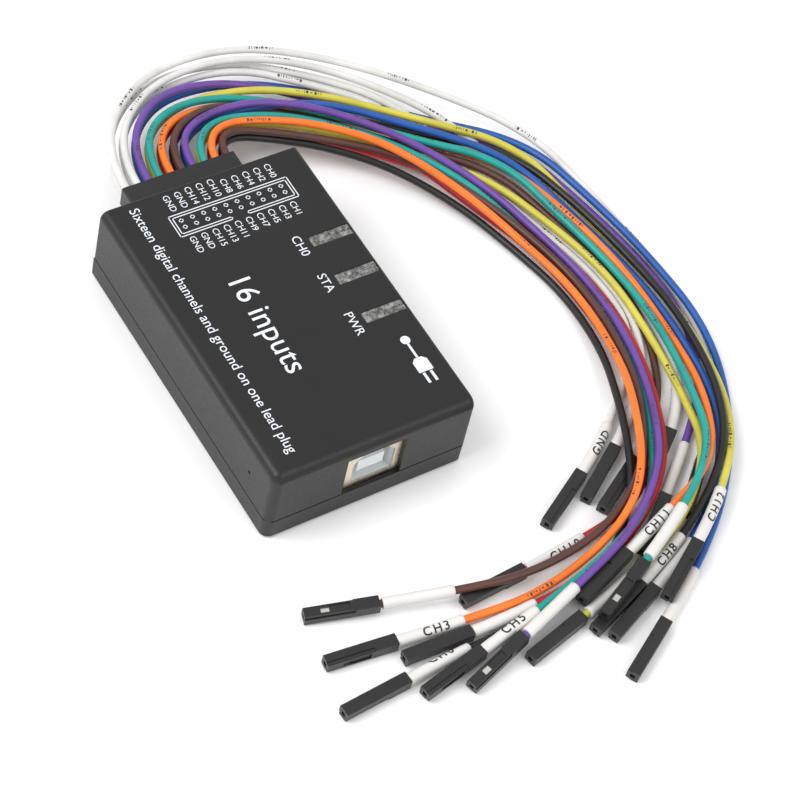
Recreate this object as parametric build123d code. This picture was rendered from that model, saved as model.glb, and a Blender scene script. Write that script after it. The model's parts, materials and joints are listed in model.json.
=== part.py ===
from build123d import *
import math
import os

# Logic analyzer: a small case with a USB-B socket at its front and a 2 x 10 pin header at its back,
# where a plug with twenty labelled test leads sits.
# Frame, in millimetres: origin under the middle of the case, +X across it, +Y towards the leads, +Z up.

# Case
CASE_WIDTH = 44.5
CASE_LENGTH = 70.0
CASE_HEIGHT = 19.4
SPLIT_Z = 5.2
WALL = 1.8
FLOOR = 1.6
DRAFT_DEGREES = 0.6
FRONT_TOP_RADIUS = 2.2
LEFT_RADIUS = 1.9
RIGHT_RADIUS = 1.0
BACK_RADIUS = 0.5
FOOT_RADIUS = 0.5
SEAM_DEPTH = 0.25
SEAM_HEIGHT = 0.3
PINHOLE_Y = -26.7
PINHOLE_Z = 11.7
PINHOLE_RADIUS = 0.35
PINHOLE_DEPTH = 0.9

# Screws, bosses and the board between them
BOSS_X = 17.0
BOSS_Y = 29.0
BOSS_RADIUS = 3.0
POST_RADIUS = 2.75
PILOT_RADIUS = 1.25
PILOT_TOP_Z = 12.0
SCREW_HOLE_RADIUS = 1.3
COUNTERBORE_RADIUS = 2.4
COUNTERBORE_DEPTH = 1.0
SCREW_HEAD_RADIUS = 2.2
SCREW_HEAD_HEIGHT = 0.9
SCREW_RADIUS = 1.2
SCREW_TIP_Z = 11.0
SCREW_SLOT_LENGTH = 2.4
SCREW_SLOT_WIDTH = 0.5
BOARD_WIDTH = 40.0
BOARD_LENGTH = 65.0
BOARD_BOTTOM_Z = 2.8
BOARD_THICKNESS = 1.6
BOARD_TOP_Z = BOARD_BOTTOM_Z + BOARD_THICKNESS

# USB-B socket
USB_X = 1.0
USB_WIDTH = 12.05
USB_DEPTH = 16.0
USB_HEIGHT = 10.9
USB_FRONT_Y = -33.9
USB_SHEET = 0.4
USB_MOUTH_WIDTH = 9.2
USB_MOUTH_BOTTOM_Z = 6.2
USB_MOUTH_TOP_Z = 14.5
USB_MOUTH_CHAMFER = 2.0
USB_MOUTH_DEPTH = 10.5
USB_APERTURE_X = 0.56
USB_APERTURE_WIDTH = 13.0
USB_APERTURE_TOP_Z = 16.1
TONGUE_WIDTH = 5.8
TONGUE_BOTTOM_Z = 8.2
TONGUE_TOP_Z = 11.4
TONGUE_SETBACK = 0.5
CONTACT_THICKNESS = 0.2
CONTACT_WIDTH = 1.0
CONTACT_LENGTH = 6.5
CONTACT_SPACING = 2.5
CONTACT_SETBACK = 1.0
SILL_WIDTH = 2.0
SILL_DEPTH = 1.1

# Pin header and lead plug, two rows of ten
PITCH = 2.54
COLUMNS = 10
ROWS = 2
HEADER_X = 0.7
LOWER_ROW_Z = 8.53
PIN_SIDE = 0.64
PIN_TIP_Y = 35.0
PIN_TAIL_Z = 2.0
PIN_BEND_Y = 24.0
HEADER_BACK_Y = 29.1
HEADER_THICKNESS = 2.5
HEADER_TOP_Z = 12.4
PLUG_FRONT_Y = 29.4
PLUG_BACK_Y = 43.6
PLUG_WIDTH = 25.6
PLUG_BOTTOM_Z = 7.25
PLUG_TOP_Z = 12.35
PLUG_NOSE = 0.7
PLUG_CLEARANCE = 0.4
PLUG_CHAMFER = 0.3
PLUG_WINDOW_LENGTH = 2.4
PLUG_WINDOW_SETBACK = 4.0
TERMINAL_SIDE = 1.8
TERMINAL_CAVITY_SIDE = 1.84
TERMINAL_SOCKET_SIDE = 0.8
TERMINAL_SOCKET_DEPTH = 6.3
PIN_HOLE_SIDE = 1.0
PIN_HOLE_OVERLAP = 0.5
LEAD_ENTRY = 2.0

# Light pipes and their LEDs
PIPE_CENTRES_Y = (11.85, 1.6, -8.7)
PIPE_INNER_X = 12.2
PIPE_OUTER_X = 21.3
PIPE_END_GAP = 0.1
PIPE_SLOT_WIDTH = 2.7
PIPE_WIDTH = 2.6
PIPE_LEDGE_Z = 17.9
PIPE_TOP_Z = 19.2
PIPE_CREASE_X = 16.7
PIPE_GROOVE_WIDTH = 0.22
PIPE_GROOVE_DEPTH = 0.15
PIPE_LEG_X = 18.2
PIPE_LEG_LENGTH = 3.6
PIPE_LEG_WIDTH = 2.0
PIPE_LEG_BOTTOM_Z = 5.6
PIPE_LEG_GAP = 0.1

# Components on the board: width, length, height
LED_SIZE = (1.6, 0.8, 0.7)
CONTROLLER_SIZE = (10.0, 10.0, 1.4)
CONTROLLER_PLACE = (0.0, -4.0)
BUFFER_SIZE = (10.0, 6.0, 1.5)
BUFFER_PLACES = ((-7.0, 10.5), (7.0, 10.5))
CRYSTAL_SIZE = (4.7, 11.4, 3.6)
CRYSTAL_PLACE = (-12.5, -9.0)
CAPACITOR_SIZE = (3.2, 1.6, 1.2)
CAPACITOR_PLACES = ((11.0, -6.0), (11.0, -1.0), (-11.0, 2.0), (-10.5, -25.0))
RESISTOR_SIZE = (0.8, 1.6, 0.5)
RESISTOR_COUNT = 16
RESISTOR_PITCH = 1.5
FIRST_RESISTOR_PLACE = (-12.0, 17.0)

# Leads, label sleeves and probe housings
LEAD_RADIUS = 0.8
LEAD_BORE_RADIUS = 0.83
SLEEVE_RADIUS = 1.15
SLEEVE_BORE_RADIUS = 0.83
SLEEVE_START = 3.0
SLEEVE_LENGTH = 14.0
BEND_SHARE = 0.45
HOUSING_SIDE = 2.54
HOUSING_TAIL = 3.0
HOUSING_NOSE = 11.5
HOUSING_FRONT_WALL = 0.6
HOUSING_STEP_START = 1.8
HOUSING_STEP = 0.22
HOUSING_STEP_FOOT = 0.4
HOUSING_CHAMFER = 0.12
LATCH_START = 2.6
LATCH_END = 6.6
LATCH_WIDTH = 1.5
LATCH_DEPTH = 0.25
WINDOW_START = 6.6
WINDOW_LENGTH = 1.7
WINDOW_WIDTH = 1.2
PROBE_HOLE_SIDE = 1.0

# Each lead's centreline, from its terminal in the plug to its terminal in the probe housing
LEAD_ROUTES = {
    "ch0": [
        (12.13, 41.6, 8.53), (12.13, 47.0, 8.5), (17.0, 50.6, 8.0), (26.0, 47.4, 6.4),
        (36.0, 41.8, 5.2), (46.5, 32.7, 3.8), (55.5, 19.0, 2.0), (60.8, 4.0, 0.9), (63.8, -9.0, 0.8),
        (62.3, -25.0, 2.2), (57.2, -38.5, 3.6), (52.0, -50.0, 4.0), (46.3, -58.8, 4.0),
        (36.5, -67.8, 0.85), (17.5, -72.6, 0.9), (0.5, -72.5, 1.2), (-16.5, -73.7, 1.3)],
    "ch1": [
        (12.13, 41.6, 11.07), (12.13, 47.3, 11.0), (16.9, 50.9, 9.8), (26.2, 47.8, 8.0),
        (36.5, 42.6, 6.6), (48.8, 34.6, 5.2), (58.4, 20.3, 4.2), (64.4, 5.0, 3.0), (67.3, -9.0, 2.5),
        (65.9, -25.0, 3.9), (61.0, -40.5, 5.3), (51.0, -55.5, 6.2), (37.5, -63.0, 4.4),
        (20.0, -65.2, 3.8), (3.0, -61.8, 3.4), (-13.3, -56.8, 2.2)],
    "ch2": [
        (9.59, 41.6, 8.53), (9.59, 47.2, 8.5), (15.5, 52.4, 7.6), (26.8, 50.0, 5.9), (37.2, 44.4, 4.3),
        (48.6, 35.0, 3.0), (62.3, 22.0, 2.5), (67.5, 5.7, 1.0), (71.0, -9.0, 0.8), (69.6, -25.0, 2.5),
        (65.2, -40.0, 3.6), (57.5, -55.5, 3.6), (41.5, -66.4, 3.1), (26.0, -70.1, 2.25),
        (9.0, -70.3, 1.3), (-0.4, -69.9, 1.35)],
    "ch3": [
        (9.59, 41.6, 11.07), (9.59, 47.2, 11.0), (15.4, 52.8, 10.5), (26.8, 50.0, 9.5),
        (37.6, 44.4, 8.5), (47.9, 35.2, 7.3), (56.8, 19.6, 4.9), (62.0, 4.5, 3.0), (65.3, -9.0, 2.5),
        (63.9, -25.0, 3.9), (59.0, -39.5, 7.3), (49.5, -57.5, 7.7), (38.0, -65.0, 4.9),
        (20.0, -68.6, 1.6), (2.6, -67.2, 1.4), (-14.3, -65.3, 1.4)],
    "ch4": [
        (7.05, 41.6, 8.53), (7.05, 47.5, 8.5), (13.9, 54.2, 7.7), (27.2, 52.2, 6.0), (38.2, 46.4, 4.6),
        (50.4, 36.8, 3.5), (64.7, 23.0, 2.5), (70.5, 6.5, 2.5), (74.2, -9.0, 2.5), (73.6, -25.0, 2.5),
        (70.5, -42.0, 3.5), (67.5, -54.5, 3.4), (57.0, -64.6, 3.85), (45.5, -70.5, 1.9),
        (30.5, -74.7, 1.3), (20.9, -77.0, 1.3)],
    "ch5": [
        (7.05, 41.6, 11.07), (7.05, 47.5, 11.0), (13.9, 54.4, 10.2), (27.2, 52.6, 8.4),
        (38.6, 46.8, 6.5), (50.2, 36.6, 5.2), (60.1, 21.0, 3.8), (65.5, 5.2, 1.0), (68.2, -9.0, 0.8),
        (67.3, -25.0, 2.2), (63.2, -40.0, 3.8), (50.2, -61.3, 5.05), (34.0, -68.2, 4.3),
        (15.6, -72.2, 3.3), (-1.1, -75.4, 2.3)],
    "ch6": [
        (4.51, 41.6, 8.53), (4.51, 48.0, 8.5), (8.0, 53.7, 8.2), (16.2, 56.4, 7.9), (27.4, 55.8, 7.6),
        (40.6, 51.3, 7.5), (55.0, 39.7, 6.1), (70.9, 25.8, 4.2), (76.9, 8.0, 1.2), (80.3, -9.0, 0.8),
        (79.8, -25.0, 2.5), (76.3, -47.0, 3.6), (66.3, -62.0, 1.7), (52.3, -72.1, 1.3),
        (37.5, -78.2, 1.35)],
    "ch7": [
        (4.51, 41.6, 11.07), (4.51, 48.0, 11.0), (8.0, 53.8, 10.8), (16.3, 56.4, 10.3),
        (27.2, 55.6, 9.4), (39.0, 48.9, 8.6), (51.4, 37.6, 6.4), (61.7, 21.7, 4.2), (66.6, 5.5, 2.8),
        (69.4, -9.0, 2.5), (68.0, -25.0, 3.9), (63.3, -40.5, 5.3), (55.0, -56.0, 6.5),
        (40.0, -66.8, 6.4), (23.6, -72.0, 5.1), (7.3, -76.8, 3.0)],
    "ch8": [
        (1.97, 41.6, 8.53), (1.97, 48.0, 8.5), (6.0, 54.8, 8.2), (15.8, 58.3, 7.2), (28.0, 56.8, 3.2),
        (40.8, 52.0, 3.3), (54.8, 39.6, 4.3), (73.2, 26.9, 2.9), (78.3, 8.6, 3.1), (81.4, -9.0, 2.5),
        (81.3, -25.0, 4.2), (77.5, -44.5, 5.3), (69.5, -58.5, 4.8), (51.2, -70.7, 2.8),
        (35.1, -76.2, 2.1)],
    "ch9": [
        (1.97, 41.6, 11.07), (1.97, 48.0, 11.0), (6.0, 54.8, 10.8), (15.8, 58.2, 10.1),
        (27.4, 57.4, 5.2), (39.4, 49.7, 4.1), (52.4, 37.6, 2.7), (66.8, 24.0, 3.4), (72.5, 7.0, 1.3),
        (76.1, -9.0, 0.8), (75.2, -24.0, 0.8), (65.0, -44.0, 1.25), (51.1, -51.8, 1.3)],
    "ch10": [
        (-0.57, 41.6, 8.53), (-0.57, 48.5, 8.5), (4.0, 56.4, 8.0), (14.6, 60.0, 6.0),
        (27.8, 57.2, 1.4), (39.8, 50.6, 1.5), (52.6, 37.2, 0.8), (58.2, 20.2, 0.8), (63.9, 4.8, 0.8),
        (66.0, -9.0, 0.8), (65.0, -25.0, 2.3), (60.8, -41.1, 3.4), (53.2, -53.8, 3.8),
        (47.6, -59.4, 2.0), (31.5, -61.9, 1.35), (16.2, -62.9, 1.35)],
    "ch11": [
        (-0.57, 41.6, 11.07), (-0.57, 48.5, 11.0), (4.0, 56.2, 10.7), (14.0, 59.6, 8.4),
        (27.4, 59.6, 4.1), (41.6, 53.2, 2.0), (54.6, 39.4, 2.5), (69.5, 25.2, 3.1), (75.2, 7.6, 2.9),
        (78.1, -9.0, 2.5), (77.7, -26.0, 2.6), (74.5, -44.0, 4.6), (66.0, -59.0, 5.8),
        (50.7, -65.0, 4.9), (35.6, -70.1, 3.85)],
    "ch12": [
        (-3.11, 41.6, 8.53), (-3.11, 48.5, 8.5), (1.4, 57.4, 8.2), (11.4, 62.4, 7.9),
        (26.6, 61.6, 7.4), (41.2, 54.2, 6.8), (56.6, 41.6, 5.8), (75.6, 28.0, 2.9), (79.1, 8.7, 1.1),
        (82.6, -9.0, 0.8), (82.4, -27.0, 2.7), (78.0, -49.6, 3.6), (64.3, -65.7, 4.5),
        (49.8, -74.6, 3.9)],
    "ch13": [
        (-3.11, 41.6, 11.07), (-3.11, 48.5, 11.0), (1.4, 57.2, 10.8), (11.2, 61.0, 10.2),
        (25.0, 59.8, 7.2), (39.8, 50.9, 5.4), (53.0, 37.8, 5.0), (68.3, 24.6, 5.4), (73.2, 7.2, 3.2),
        (76.4, -9.0, 2.5), (75.8, -25.0, 4.0), (72.0, -42.5, 5.2), (66.5, -56.5, 7.3),
        (52.0, -67.2, 6.7), (36.6, -74.3, 5.3)],
    "ch14": [
        (-5.65, 41.6, 8.53), (-5.65, 49.0, 8.5), (-0.8, 59.2, 8.2), (10.0, 65.6, 7.6),
        (27.4, 65.0, 5.6), (43.6, 57.8, 2.6), (60.4, 44.6, 1.0), (78.0, 28.9, 2.3), (82.4, 9.5, 2.5),
        (85.2, -9.0, 2.5), (85.6, -30.0, 2.7), (79.0, -48.5, 0.9), (66.5, -64.5, 0.9),
        (50.1, -77.2, 1.2), (35.3, -85.6, 1.3)],
    "ch15": [
        (-5.65, 41.6, 11.07), (-5.65, 49.0, 11.0), (-0.8, 59.2, 10.8), (10.0, 65.4, 10.3),
        (26.6, 63.6, 7.4), (42.0, 56.0, 2.6), (58.8, 43.4, 0.9), (76.6, 28.4, 0.8), (81.0, 9.1, 0.8),
        (84.2, -9.0, 0.8), (84.0, -24.0, 0.8), (78.7, -38.5, 0.8), (65.4, -51.7, 1.2),
        (51.9, -62.0, 1.3)],
    "gnd1": [
        (-8.19, 41.6, 8.53), (-8.19, 49.0, 8.5), (-3.1, 60.6, 8.1), (9.3, 68.2, 7.9),
        (27.4, 67.4, 7.6), (41.5, 58.6, 5.2), (53.5, 48.5, 3.6), (59.0, 37.0, 0.8), (64.0, 22.8, 0.8),
        (69.2, 6.2, 0.8), (72.7, -9.0, 0.8), (71.7, -24.0, 0.8), (53.6, -41.9, 1.5),
        (39.0, -50.1, 1.4)],
    "gnd2": [
        (-8.19, 41.6, 11.07), (-8.19, 49.0, 11.0), (-3.0, 60.6, 10.7), (9.6, 68.6, 10.2),
        (28.2, 68.8, 9.4), (44.6, 60.8, 7.6), (60.4, 45.8, 4.6), (66.5, 35.5, 2.5), (70.5, 26.0, 0.8),
        (74.2, 7.4, 0.8), (77.8, -9.0, 0.8), (77.0, -24.0, 0.8), (72.2, -41.6, 1.3),
        (61.8, -49.4, 1.3)],
    "gnd3": [
        (-10.73, 41.6, 8.53), (-10.73, 49.3, 8.5), (-5.3, 62.0, 8.0), (7.5, 71.0, 7.5),
        (27.0, 70.6, 6.6), (43.0, 60.4, 5.4), (55.0, 49.6, 4.2), (61.0, 38.0, 1.4), (65.7, 23.5, 0.8),
        (70.9, 6.6, 0.8), (74.4, -9.0, 0.8), (73.4, -24.0, 0.8), (63.3, -38.6, 1.2),
        (49.0, -47.8, 1.3)],
    "gnd4": [
        (-10.73, 41.6, 11.07), (-10.73, 49.3, 11.0), (-5.3, 62.0, 10.8), (8.2, 71.2, 10.3),
        (28.0, 71.8, 9.4), (45.6, 63.2, 8.0), (62.6, 48.0, 6.8), (79.4, 29.5, 4.2), (84.1, 9.9, 1.2),
        (86.4, -9.0, 0.8), (85.6, -28.5, 0.8), (76.8, -46.6, 1.2), (64.2, -57.8, 1.3)],
}

# How far each probe housing is turned about its own lead; at 0 its latch window faces up
HOUSING_ROLLS = {
    "ch0": 180, "ch1": 0, "ch2": 180, "ch3": -90, "ch4": 90, "ch5": -90, "ch6": 180, "ch7": 0,
    "ch8": 90, "ch9": -90, "ch10": 180, "ch11": 90, "ch12": -90, "ch13": 0, "ch14": 90, "ch15": 180,
    "gnd1": -90, "gnd2": 90, "gnd3": 180, "gnd4": 90,
}


def block(x_low, x_high, y_low, y_high, z_low, z_high):
    """A box between two corners."""
    centre = ((x_low + x_high) / 2, (y_low + y_high) / 2, (z_low + z_high) / 2)
    return Pos(*centre) * Box(x_high - x_low, y_high - y_low, z_high - z_low)


def centred_block(x, y, x_size, y_size, z_low, z_high):
    """A box given by its middle in plan and its two heights."""
    return block(x - x_size / 2, x + x_size / 2, y - y_size / 2, y + y_size / 2, z_low, z_high)


def upright(x, y, radius, z_low, z_high):
    """A vertical cylinder between two heights."""
    return Pos(x, y, (z_low + z_high) / 2) * Cylinder(radius, z_high - z_low)


def row_bar(x, z, side, y_low, y_high):
    """A square bar along Y, centred on a header position."""
    return block(x - side / 2, x + side / 2, y_low, y_high, z - side / 2, z + side / 2)


def boss_places():
    """The four screw positions."""
    return [(x, y) for x in (-BOSS_X, BOSS_X) for y in (-BOSS_Y, BOSS_Y)]


def pin_places():
    """Every header position as (x, z, row), the lower row first."""
    first_x = HEADER_X + PITCH * (COLUMNS - 1) / 2
    return [
        (first_x - PITCH * column, LOWER_ROW_Z + PITCH * row, row)
        for row in range(ROWS)
        for column in range(COLUMNS)
    ]


def outline_edge(shell, z, axis, position):
    """The outermost edge of the level face at height z along an axis: 0 for its low side, -1 for its high."""
    face = shell.faces().filter_by(Axis.Z).sort_by(lambda item: abs(item.center().Z - z))[0]
    return [face.edges().sort_by(axis)[position]]


def round_sides(shell, z):
    """Round the edges at height z and the upright corners they run into, softest on the left."""
    shell = fillet(outline_edge(shell, z, Axis.X, 0), LEFT_RADIUS)
    shell = fillet(outline_edge(shell, z, Axis.X, -1), RIGHT_RADIUS)
    return fillet(outline_edge(shell, z, Axis.Y, -1), BACK_RADIUS)


def make_case_top():
    """The upper shell: roof and four walls, with slots for the light pipes and notches for the sockets."""
    plan = Pos(0, 0, SPLIT_Z) * Rectangle(CASE_WIDTH, CASE_LENGTH)
    shell = extrude(plan, CASE_HEIGHT - SPLIT_Z, taper=DRAFT_DEGREES)
    shell = fillet(outline_edge(shell, CASE_HEIGHT, Axis.Y, 0), FRONT_TOP_RADIUS)
    shell = round_sides(shell, CASE_HEIGHT)
    shell -= centred_block(0, 0, CASE_WIDTH - 2 * WALL, CASE_LENGTH - 2 * WALL, 0, CASE_HEIGHT - WALL)
    seam_outer = centred_block(0, 0, CASE_WIDTH + 2, CASE_LENGTH + 2, SPLIT_Z - 1, SPLIT_Z + SEAM_HEIGHT)
    seam_inner = centred_block(
        0, 0, CASE_WIDTH - 2 * SEAM_DEPTH, CASE_LENGTH - 2 * SEAM_DEPTH, SPLIT_Z - 1, SPLIT_Z + SEAM_HEIGHT
    )
    shell -= seam_outer - seam_inner
    for x, y in boss_places():
        shell += upright(x, y, POST_RADIUS, BOARD_TOP_Z, CASE_HEIGHT - WALL / 2)
    for x, y in boss_places():
        shell -= upright(x, y, PILOT_RADIUS, 0, PILOT_TOP_Z)
    front_y = -CASE_LENGTH / 2
    back_y = CASE_LENGTH / 2
    notch_low_z = SPLIT_Z - 1
    aperture_z = (notch_low_z, USB_APERTURE_TOP_Z)
    shell -= centred_block(USB_APERTURE_X, front_y, USB_APERTURE_WIDTH, 3 * WALL, *aperture_z)
    notch_width = PLUG_WIDTH + 2 * PLUG_CLEARANCE
    shell -= centred_block(HEADER_X, back_y, notch_width, 3 * WALL, notch_low_z, PLUG_TOP_Z + PLUG_CLEARANCE)
    slot_end_x = PIPE_OUTER_X + PIPE_END_GAP
    slot_x = (PIPE_INNER_X + slot_end_x) / 2
    slot_size = (slot_end_x - PIPE_INNER_X, PIPE_SLOT_WIDTH)
    leg_size = (PIPE_LEG_LENGTH + 2 * PIPE_LEG_GAP, PIPE_LEG_WIDTH + 2 * PIPE_LEG_GAP)
    for y in PIPE_CENTRES_Y:
        shell -= centred_block(slot_x, y, *slot_size, PIPE_LEDGE_Z, CASE_HEIGHT + 1)
        shell -= centred_block(PIPE_LEG_X, y, *leg_size, CASE_HEIGHT - 2 * WALL, CASE_HEIGHT)
    hole_x = (PINHOLE_DEPTH - CASE_WIDTH) / 2
    return shell - Pos(hole_x, PINHOLE_Y, PINHOLE_Z) * Rot(0, 90, 0) * Cylinder(PINHOLE_RADIUS, PINHOLE_DEPTH)


def make_case_bottom():
    """The lower shell: floor, low walls and the four screw bosses."""
    shell = centred_block(0, 0, CASE_WIDTH, CASE_LENGTH, 0, SPLIT_Z)
    left_corners = shell.edges().filter_by(Axis.Z).group_by(Axis.X)[0]
    shell = fillet(left_corners.sort_by(Axis.Y)[:1], LEFT_RADIUS)
    right_corners = shell.edges().filter_by(Axis.Z).group_by(Axis.X)[-1]
    shell = fillet(right_corners.sort_by(Axis.Y)[:1], RIGHT_RADIUS)
    shell = chamfer(shell.faces().sort_by(Axis.Z)[0].edges(), FOOT_RADIUS)
    shell -= centred_block(0, 0, CASE_WIDTH - 2 * WALL, CASE_LENGTH - 2 * WALL, FLOOR, CASE_HEIGHT)
    for x, y in boss_places():
        shell += upright(x, y, BOSS_RADIUS, FLOOR / 2, BOARD_BOTTOM_Z)
    for x, y in boss_places():
        shell -= upright(x, y, SCREW_HOLE_RADIUS, -1, CASE_HEIGHT)
        shell -= upright(x, y, COUNTERBORE_RADIUS, -1, COUNTERBORE_DEPTH)
    sill_y = -CASE_LENGTH / 2 + WALL
    sill_z = SPLIT_Z - SILL_DEPTH
    return shell - centred_block(USB_APERTURE_X, sill_y, USB_APERTURE_WIDTH, SILL_WIDTH, sill_z, SPLIT_Z + 1)


def make_circuit_board():
    """The circuit board, clamped between the bosses and the posts, with a hole for every header pin."""
    board = centred_block(0, 0, BOARD_WIDTH, BOARD_LENGTH, BOARD_BOTTOM_Z, BOARD_TOP_Z)
    for x, y in boss_places():
        board -= upright(x, y, SCREW_HOLE_RADIUS, 0, CASE_HEIGHT)
    for x, z, row in pin_places():
        board -= centred_block(x, PIN_BEND_Y - PITCH * row, PIN_SIDE, PIN_SIDE, 0, CASE_HEIGHT)
    return board


def make_case_screws():
    """Four cross-head screws from below."""
    screws = []
    for x, y in boss_places():
        head_low_z = COUNTERBORE_DEPTH - SCREW_HEAD_HEIGHT
        screw = upright(x, y, SCREW_HEAD_RADIUS, head_low_z, COUNTERBORE_DEPTH)
        screw += upright(x, y, SCREW_RADIUS, COUNTERBORE_DEPTH / 2, SCREW_TIP_Z)
        slot_z = (head_low_z - 1, head_low_z + SCREW_SLOT_WIDTH)
        screw -= centred_block(x, y, SCREW_SLOT_LENGTH, SCREW_SLOT_WIDTH, *slot_z)
        screw -= centred_block(x, y, SCREW_SLOT_WIDTH, SCREW_SLOT_LENGTH, *slot_z)
        screws.append(screw)
    return screws


def usb_mouth(y_low, y_high):
    """The socket's mouth: a rectangle with both top corners cut off, run along Y."""
    half = USB_MOUTH_WIDTH / 2
    outline = Polyline(
        (-half, USB_MOUTH_BOTTOM_Z),
        (half, USB_MOUTH_BOTTOM_Z),
        (half, USB_MOUTH_TOP_Z - USB_MOUTH_CHAMFER),
        (half - USB_MOUTH_CHAMFER, USB_MOUTH_TOP_Z),
        (-half + USB_MOUTH_CHAMFER, USB_MOUTH_TOP_Z),
        (-half, USB_MOUTH_TOP_Z - USB_MOUTH_CHAMFER),
        close=True,
    )
    front = Plane(origin=(USB_X, y_low, 0), x_dir=(1, 0, 0), z_dir=(0, -1, 0))
    return extrude(front * make_face(outline), -(y_high - y_low))


def make_usb_shell():
    """The folded sheet shell around the socket, open at the back."""
    y_back = USB_FRONT_Y + USB_DEPTH
    z_top = BOARD_TOP_Z + USB_HEIGHT
    inner = USB_WIDTH - 2 * USB_SHEET
    y_middle = USB_FRONT_Y + USB_DEPTH / 2
    shell = centred_block(USB_X, y_middle, USB_WIDTH, USB_DEPTH, BOARD_TOP_Z, z_top)
    shell -= centred_block(
        USB_X, y_middle + USB_SHEET, inner, USB_DEPTH, BOARD_TOP_Z + USB_SHEET, z_top - USB_SHEET
    )
    return shell - usb_mouth(USB_FRONT_Y - 1, y_back)


def make_usb_insulator():
    """The white plastic body inside the shell, with the tongue that carries the contacts."""
    y_front = USB_FRONT_Y + USB_SHEET
    y_back = USB_FRONT_Y + USB_DEPTH
    inner = USB_WIDTH - 2 * USB_SHEET
    z_top = BOARD_TOP_Z + USB_HEIGHT - USB_SHEET
    body = block(USB_X - inner / 2, USB_X + inner / 2, y_front, y_back, BOARD_TOP_Z + USB_SHEET, z_top)
    body -= usb_mouth(y_front - 1, y_front + USB_MOUTH_DEPTH)
    tongue_y = (y_front + TONGUE_SETBACK, y_front + USB_MOUTH_DEPTH + 1)
    return body + block(
        USB_X - TONGUE_WIDTH / 2, USB_X + TONGUE_WIDTH / 2, *tongue_y, TONGUE_BOTTOM_Z, TONGUE_TOP_Z
    )


def make_usb_contacts():
    """Two spring contacts on the tongue's top face and two under it."""
    y_middle = USB_FRONT_Y + USB_SHEET + TONGUE_SETBACK + CONTACT_SETBACK + CONTACT_LENGTH / 2
    size = (CONTACT_WIDTH, CONTACT_LENGTH)
    contacts = []
    for x in (USB_X - CONTACT_SPACING / 2, USB_X + CONTACT_SPACING / 2):
        for z_low in (TONGUE_TOP_Z, TONGUE_BOTTOM_Z - CONTACT_THICKNESS):
            contacts.append(centred_block(x, y_middle, *size, z_low, z_low + CONTACT_THICKNESS))
    return contacts


def make_header_body():
    """The plastic block that holds the header pins."""
    y_low = HEADER_BACK_Y - HEADER_THICKNESS
    body = centred_block(
        HEADER_X, (y_low + HEADER_BACK_Y) / 2, COLUMNS * PITCH, HEADER_THICKNESS, BOARD_TOP_Z, HEADER_TOP_Z
    )
    for x, z, row in pin_places():
        body -= row_bar(x, z, PIN_SIDE, y_low - 1, HEADER_BACK_Y + 1)
    return body


def make_header_pins():
    """Twenty right-angle pins, from the board to the plug."""
    pins = []
    for x, z, row in pin_places():
        bend_y = PIN_BEND_Y - PITCH * row
        across = row_bar(x, z, PIN_SIDE, bend_y - PIN_SIDE / 2, PIN_TIP_Y)
        pins.append(across + centred_block(x, bend_y, PIN_SIDE, PIN_SIDE, PIN_TAIL_Z, z))
    return pins


def make_light_pipes():
    """Three clear bars in the roof slots, creased across and along, each with a leg down to its LED."""
    pipes = []
    for y in PIPE_CENTRES_Y:
        bar = block(
            PIPE_INNER_X, PIPE_OUTER_X, y - PIPE_WIDTH / 2, y + PIPE_WIDTH / 2, PIPE_LEDGE_Z, PIPE_TOP_Z
        )
        groove_z = (PIPE_TOP_Z - PIPE_GROOVE_DEPTH, PIPE_TOP_Z + 1)
        bar -= centred_block(PIPE_CREASE_X, y, PIPE_GROOVE_WIDTH, 2 * PIPE_WIDTH, *groove_z)
        bar -= block(
            PIPE_CREASE_X, CASE_WIDTH, y - PIPE_GROOVE_WIDTH / 2, y + PIPE_GROOVE_WIDTH / 2, *groove_z
        )
        leg = centred_block(PIPE_LEG_X, y, PIPE_LEG_LENGTH, PIPE_LEG_WIDTH, PIPE_LEG_BOTTOM_Z, PIPE_LEDGE_Z)
        pipes.append(bar + leg)
    return pipes


def on_board(places, size):
    """The same component soldered at several places on the board."""
    x_size, y_size, height = size
    return [centred_block(x, y, x_size, y_size, BOARD_TOP_Z, BOARD_TOP_Z + height) for x, y in places]


def board_components():
    """The components on the board, by node name."""
    led_places = [(PIPE_LEG_X, y) for y in PIPE_CENTRES_Y]
    first_x, resistor_y = FIRST_RESISTOR_PLACE
    resistor_places = [(first_x + RESISTOR_PITCH * number, resistor_y) for number in range(RESISTOR_COUNT)]
    return {
        "status_leds": on_board(led_places, LED_SIZE),
        "controller_chip": on_board([CONTROLLER_PLACE], CONTROLLER_SIZE),
        "buffer_chips": on_board(BUFFER_PLACES, BUFFER_SIZE),
        "crystal": on_board([CRYSTAL_PLACE], CRYSTAL_SIZE),
        "capacitors": on_board(CAPACITOR_PLACES, CAPACITOR_SIZE),
        "input_resistors": on_board(resistor_places, RESISTOR_SIZE),
    }


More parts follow.
